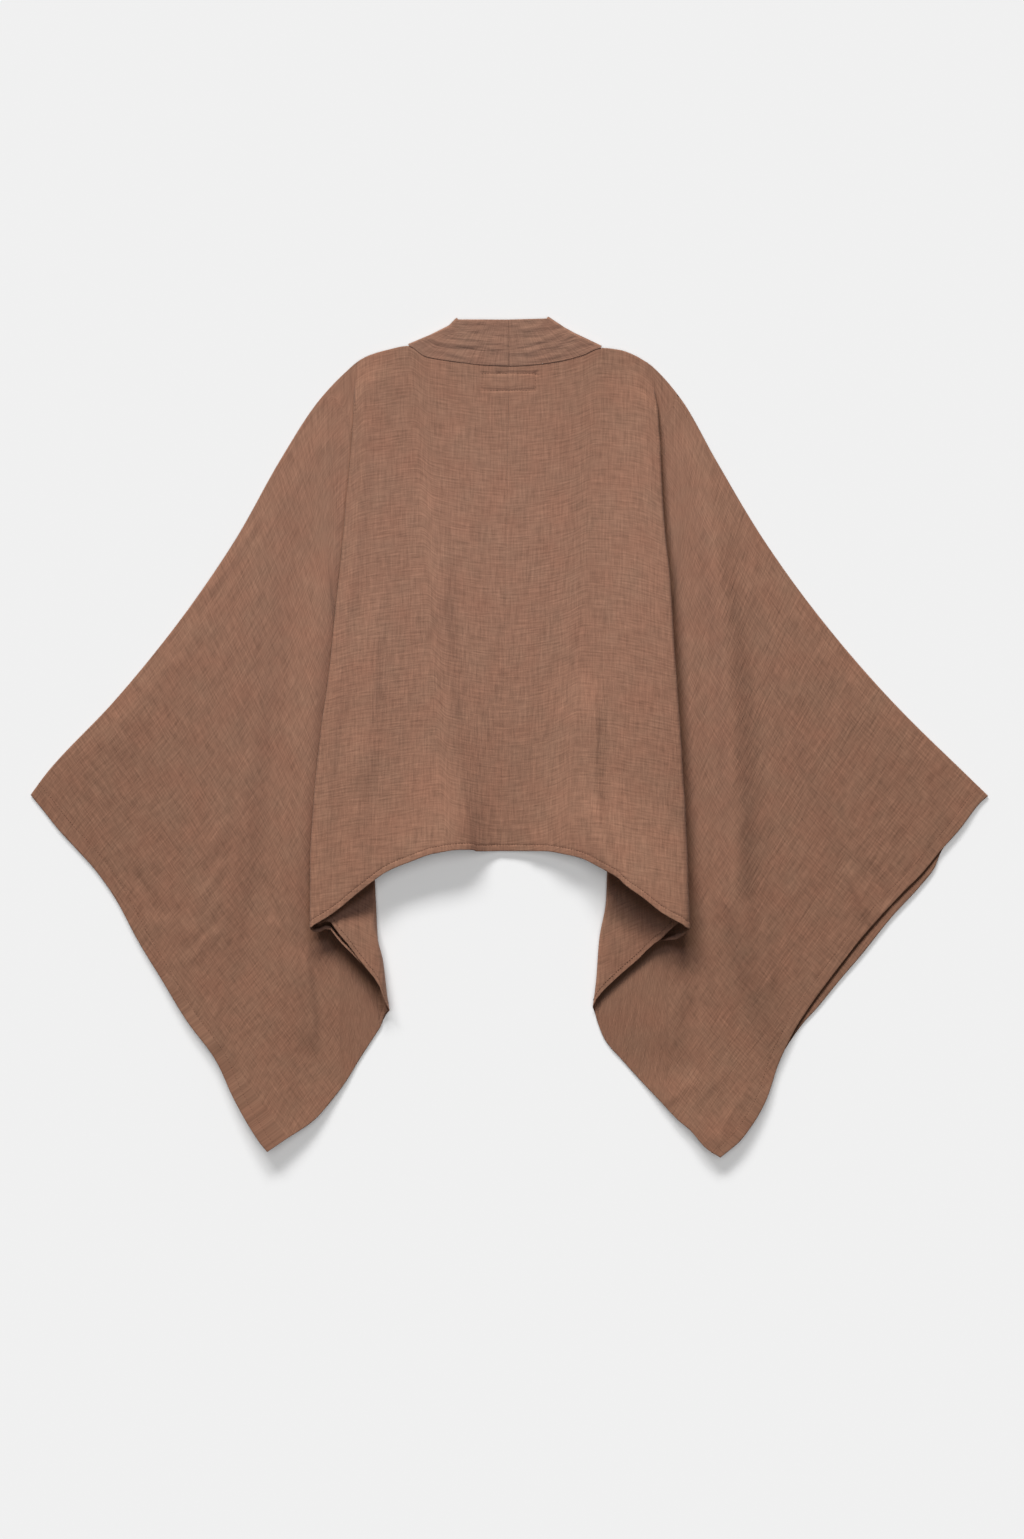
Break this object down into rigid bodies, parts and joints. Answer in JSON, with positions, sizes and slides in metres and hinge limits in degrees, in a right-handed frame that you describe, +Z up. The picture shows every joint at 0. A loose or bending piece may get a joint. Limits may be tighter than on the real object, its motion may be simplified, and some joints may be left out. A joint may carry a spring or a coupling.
{
  "type": "open kimono jacket, laid flat",
  "caption": "Short open kimono jacket in crinkled gauze, laid flat with its back up: wide sleeves fold under the body's sides, and a collar band runs round the neck and down the fronts.",
  "frame": {"origin": "middle of the laid jacket's outline, on the surface that it lies on", "axes": "+Z up, away from the surface; +Y from the hem towards the collar; +X from the centre back towards the cuff that is on the right in the picture"},
  "size_m": [0.9582, 0.8409, 0.0254],
  "materials": {
    "gauze": "matte crinkled double gauze",
    "band": "matte double gauze, folded double with fine lengthwise crinkles"
  },
  "bodies": {
    "root": {"back_left_panel": "gauze", "back_right_panel": "gauze", "front_left_panel": "gauze", "front_right_panel": "gauze", "collar_left": "band", "collar_right": "band"}
  },
  "joints": []
}
